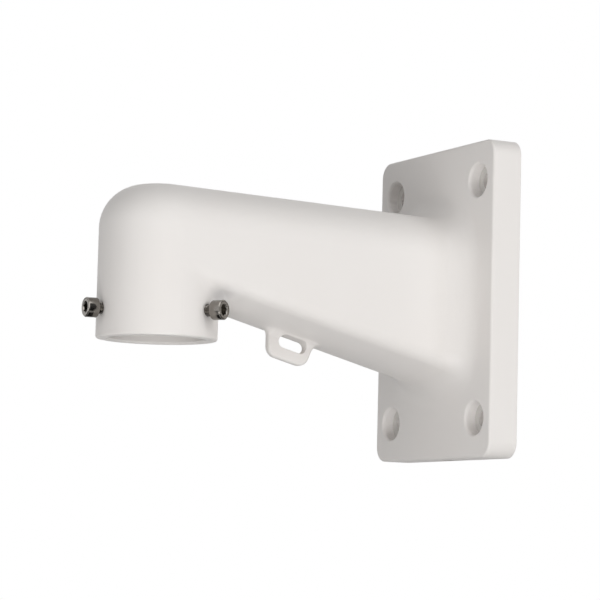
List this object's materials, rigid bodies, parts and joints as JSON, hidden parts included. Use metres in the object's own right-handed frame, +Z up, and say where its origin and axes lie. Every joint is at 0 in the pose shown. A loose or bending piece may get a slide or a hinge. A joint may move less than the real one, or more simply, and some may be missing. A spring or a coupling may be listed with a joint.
{
  "type": "camera wall bracket",
  "caption": "Die-cast L-shaped wall bracket: hollow arm from a bolted wall plate to a domed collar that clamps a dome camera.",
  "frame": {"origin": "middle of the plate's back face, on the wall plane, at the centre of the four wall bolts", "axes": "+X right, -Y out of the wall along the arm, +Z up"},
  "size_m": [0.117, 0.2178, 0.1656],
  "materials": {
    "casting": "warm white powder coat",
    "screws": "stainless, machined"
  },
  "bodies": {
    "root": {"bracket_casting": "casting", "clamp_screw_1": "screws", "clamp_screw_2": "screws", "clamp_screw_3": "screws"}
  },
  "joints": []
}
